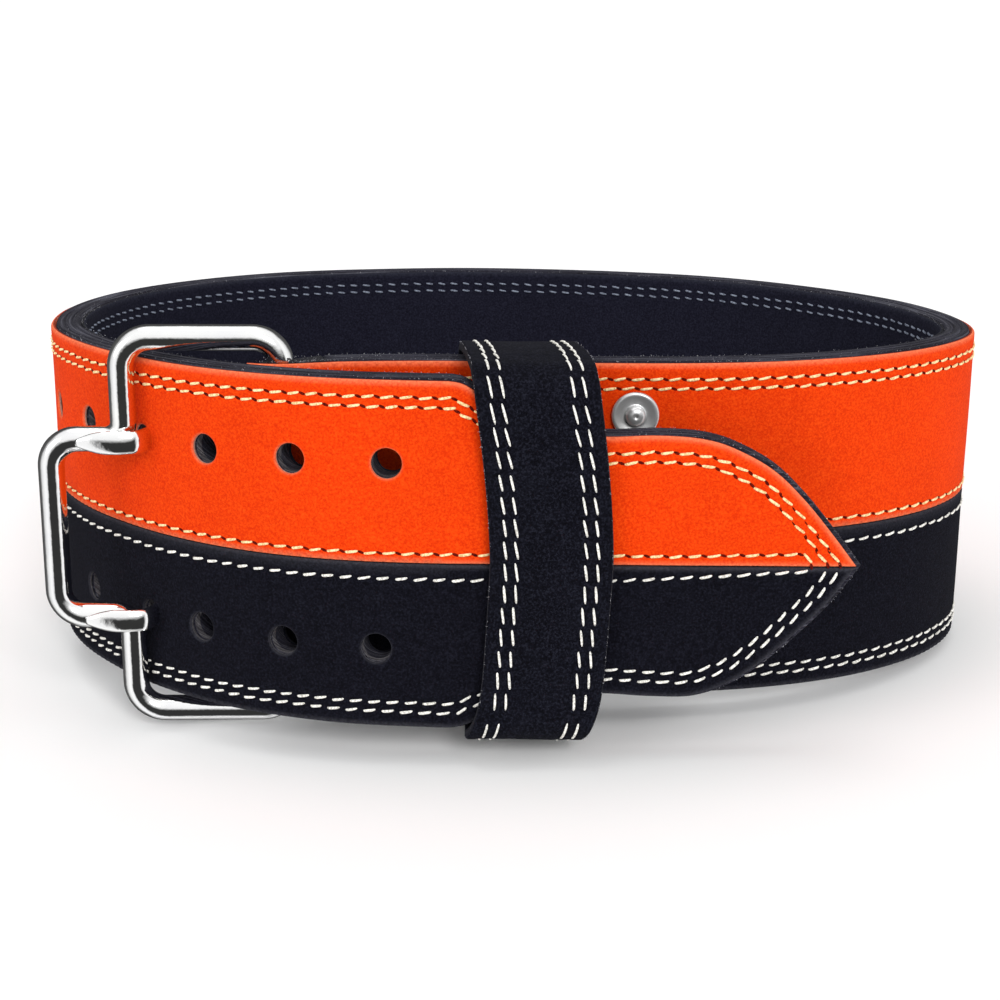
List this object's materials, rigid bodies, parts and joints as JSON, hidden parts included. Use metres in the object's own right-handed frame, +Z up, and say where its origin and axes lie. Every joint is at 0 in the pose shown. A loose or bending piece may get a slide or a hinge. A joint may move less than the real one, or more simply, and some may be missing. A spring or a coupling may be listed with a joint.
{
  "type": "weightlifting belt",
  "caption": "Wide stiff leather weightlifting belt, two-colour suede faced, fastened round with a double-prong steel buckle and a leather keeper.",
  "frame": {"origin": "middle of the bottom of the belt's bounding box, on the surface it stands on", "axes": "+X to the right of the buckle side, -Y out of the front where the buckle is, +Z up across the strap's width"},
  "size_m": [0.3, 0.243, 0.1194],
  "materials": {
    "core_leather": "dyed cut leather edge",
    "orange_suede": "suede",
    "black_suede": "suede",
    "lining_suede": "suede",
    "fold_leather": "suede",
    "buckle_steel": "polished nickel plate",
    "keeper_suede": "suede",
    "rivet_steel": "dull nickel"
  },
  "bodies": {
    "root": {"strap_core": "core_leather", "orange_facing": "orange_suede", "black_facing": "black_suede", "inner_lining": "lining_suede", "buckle_fold": "fold_leather", "buckle_frame": "buckle_steel", "prong_upper": "buckle_steel", "prong_lower": "buckle_steel", "keeper_loop": "keeper_suede", "rivet_upper": "rivet_steel", "rivet_lower": "rivet_steel"}
  },
  "joints": []
}
